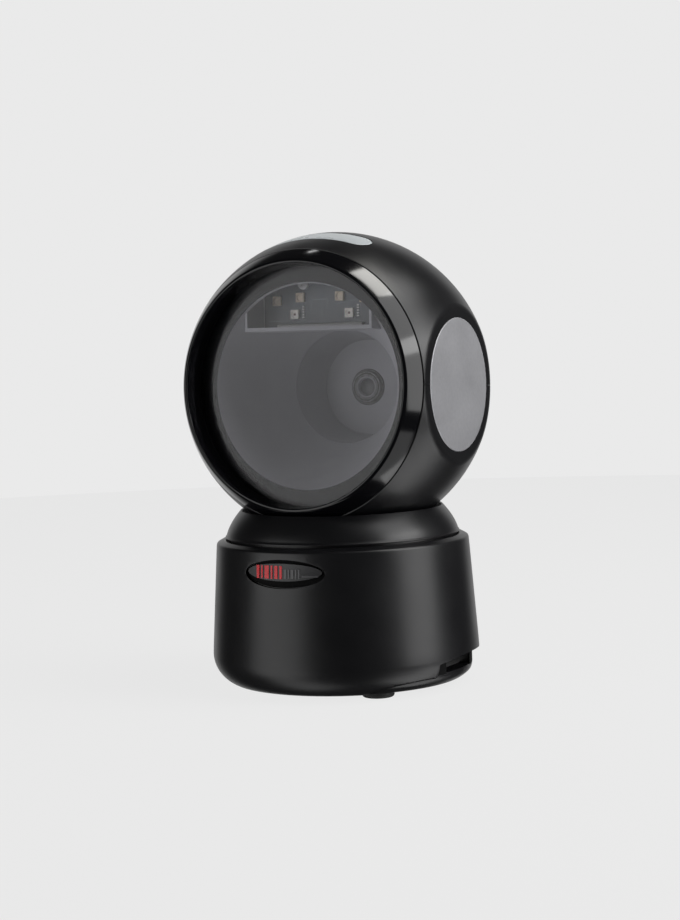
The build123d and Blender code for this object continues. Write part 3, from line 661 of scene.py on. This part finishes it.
def make_camera():
    """Camera at the photo's angle, aimed a little below the ball's centre."""
    data = bpy.data.cameras.new("camera")
    data.lens = CAMERA_LENS
    camera = bpy.data.objects.new("camera", data)
    bpy.context.scene.collection.objects.link(camera)
    camera.location = ball + CAMERA_DISTANCE * direction(CAMERA_AZIMUTH, CAMERA_ELEVATION)
    aim = ball - Vector((0, 0, CAMERA_AIM_BELOW_BALL))
    look = (aim - camera.location).to_track_quat("-Z", "Y").to_matrix()
    roll = Matrix.Rotation(radians(CAMERA_ROLL), 3, "Z")
    camera.rotation_euler = (look @ roll).to_euler()
    bpy.context.scene.camera = camera


LIGHT_DISTANCE = 0.8
TOP_BOX_TURN = 52.0


def lamp(name, azimuth, elevation, width, height, radiance, turn=0.0, colour=(1, 1, 1)):
    """Area light that faces the ball; its size is in metres, its angles are in degrees."""
    data = bpy.data.lights.new(name, "AREA")
    data.shape = "RECTANGLE"
    data.size, data.size_y = width, height
    data.energy = radiance * 4 * width * height
    data.color = colour
    light = bpy.data.objects.new(name, data)
    bpy.context.scene.collection.objects.link(light)
    light.location = ball + LIGHT_DISTANCE * direction(azimuth, elevation)
    look = (ball - light.location).to_track_quat("-Z", "Y").to_matrix()
    light.rotation_euler = (look @ Matrix.Rotation(radians(turn), 3, "Z")).to_euler()


def softbox(name, azimuths, elevations, radiance):
    """Area light that covers these angles as seen from the ball."""
    azimuth, elevation = sum(azimuths) / 2, sum(elevations) / 2
    width = 2 * LIGHT_DISTANCE * tan(radians(azimuths[1] - azimuths[0]) / 2) * cos(radians(elevation))
    height = 2 * LIGHT_DISTANCE * tan(radians(elevations[1] - elevations[0]) / 2)
    lamp(name, azimuth, elevation, width, height, radiance)


def make_lights():
    """Soft lamps that make the bands of light on the ball and the base, all aimed at the ball."""
    softbox("right_panel", (75, 115), (-16, 60), 2.1)
    softbox("right_strip", (75, 115), (20, 30), 3.5)
    softbox("right_low_panel", (70, 92), (-65, -29), 0.7)
    softbox("right_rear_low_panel", (92, 130), (-65, -25), 1.6)
    lamp("top_box", 114, 69, 0.34, 0.17, 8.0, TOP_BOX_TURN, (1.0, 0.99, 0.95))
    softbox("top_rear_box", (118, 142), (46, 60), 2.2)
    softbox("top_front_box", (42, 68), (56, 72), 0.6)
    lamp("rear_lamp", -138, 58, 0.05, 0.03, 4.0)
    softbox("front_left_box", (-56, -8), (-38, 20), 1.05)
    softbox("front_left_low_box", (-56, -8), (-80, -38), 0.85)


REAR_GLOW_AZIMUTH = 208
REAR_GLOW_INNER = 26
REAR_GLOW_OUTER = 42
REAR_GLOW = 0.8
REFLECTED_DARK = 0.035
BACKDROP_PALE = 0.822
FLOOR_PALE = 0.782
FLOOR_RADIUS = 0.8
# Painted shadow under the base: the floor's glow there, and the radii over which it fades.
PAINTED_SHADOW_DARK = 0.02
PAINTED_SHADOW_RADII = (0.02, 0.026)


def make_world():
    """Pale studio seen by the camera; for reflections it is dark with a bright backdrop behind."""
    world = bpy.data.worlds.new("studio")
    bpy.context.scene.world = world
    world.use_nodes = True
    nodes, links = world.node_tree.nodes, world.node_tree.links
    nodes.clear()
    place = nodes.new("ShaderNodeTexCoord")
    rear = nodes.new("ShaderNodeVectorMath")
    rear.operation = "DOT_PRODUCT"
    rear.inputs[1].default_value = direction(REAR_GLOW_AZIMUTH, 0)
    glow = nodes.new("ShaderNodeMapRange")
    glow.interpolation_type = "SMOOTHSTEP"
    glow.inputs["From Min"].default_value = cos(radians(REAR_GLOW_OUTER))
    glow.inputs["From Max"].default_value = cos(radians(REAR_GLOW_INNER))
    glow.inputs["To Min"].default_value = REFLECTED_DARK
    glow.inputs["To Max"].default_value = REAR_GLOW
    dark = nodes.new("ShaderNodeBackground")
    pale = nodes.new("ShaderNodeBackground")
    pale.inputs["Color"].default_value = (BACKDROP_PALE, BACKDROP_PALE, BACKDROP_PALE, 1)
    mix = nodes.new("ShaderNodeMixShader")
    path = nodes.new("ShaderNodeLightPath")
    out = nodes.new("ShaderNodeOutputWorld")
    links.new(place.outputs["Generated"], rear.inputs[0])
    links.new(rear.outputs["Value"], glow.inputs["Value"])
    links.new(glow.outputs["Result"], dark.inputs["Strength"])
    links.new(path.outputs["Is Camera Ray"], mix.inputs[0])
    links.new(dark.outputs[0], mix.inputs[1])
    links.new(pale.outputs[0], mix.inputs[2])
    links.new(mix.outputs[0], out.inputs["Surface"])


def make_floor():
    """Pale floor for the camera, with a painted shadow under the base; it is clear from below and for
    reflections.
    """
    bpy.ops.mesh.primitive_circle_add(vertices=128, radius=FLOOR_RADIUS, fill_type="NGON")
    floor = bpy.context.object
    floor.name = "floor"
    material, tree, shader = new_material("floor")
    nodes, links = tree.nodes, tree.links
    shader.inputs["Base Color"].default_value = (0.05, 0.05, 0.05, 1)
    shader.inputs["Roughness"].default_value = 0.9
    shader.inputs["Specular IOR Level"].default_value = 0.0
    path = nodes.new("ShaderNodeLightPath")
    place = nodes.new("ShaderNodeTexCoord")
    reach = nodes.new("ShaderNodeVectorMath")
    reach.operation = "LENGTH"
    # Painted shadow: the floor's glow falls to dark under the base.
    under = nodes.new("ShaderNodeMapRange")
    under.inputs["From Min"].default_value = PAINTED_SHADOW_RADII[0]
    under.inputs["From Max"].default_value = PAINTED_SHADOW_RADII[1]
    under.inputs["To Min"].default_value = PAINTED_SHADOW_DARK
    under.inputs["To Max"].default_value = FLOOR_PALE
    links.new(place.outputs["Object"], reach.inputs[0])
    links.new(reach.outputs["Value"], under.inputs["Value"])
    links.new(under.outputs["Result"], shader.inputs["Emission Strength"])
    shader.inputs["Emission Color"].default_value = (1, 1, 1, 1)
    clear = nodes.new("ShaderNodeBsdfTransparent")
    geometry = nodes.new("ShaderNodeNewGeometry")
    mix = nodes.new("ShaderNodeMixShader")
    seen = nodes.new("ShaderNodeMath")
    seen.operation = "SUBTRACT"
    seen.use_clamp = True
    links.new(path.outputs["Is Camera Ray"], seen.inputs[0])
    links.new(geometry.outputs["Backfacing"], seen.inputs[1])
    links.new(seen.outputs[0], mix.inputs[0])
    links.new(clear.outputs[0], mix.inputs[1])
    links.new(shader.outputs[0], mix.inputs[2])
    links.new(mix.outputs[0], nodes["Material Output"].inputs["Surface"])
    floor.data.materials.append(material)


bpy.context.scene.view_settings.view_transform = "Standard"
make_camera()
make_lights()
make_world()
make_floor()
dress_cad_nodes()
make_bezel()
make_pane()
make_side_discs()
make_strip()
make_leds("led_cases_white", "leds_white", "led_white", LEDS_WHITE)
make_leds("led_cases_beige", "leds_amber", "led_amber", LEDS_AMBER)
make_led_dies()
make_tube_shade_sheet()
make_lens_barrel()
make_traces()
make_housing()
make_badge()
make_notch_shade_sheet()
make_collar()
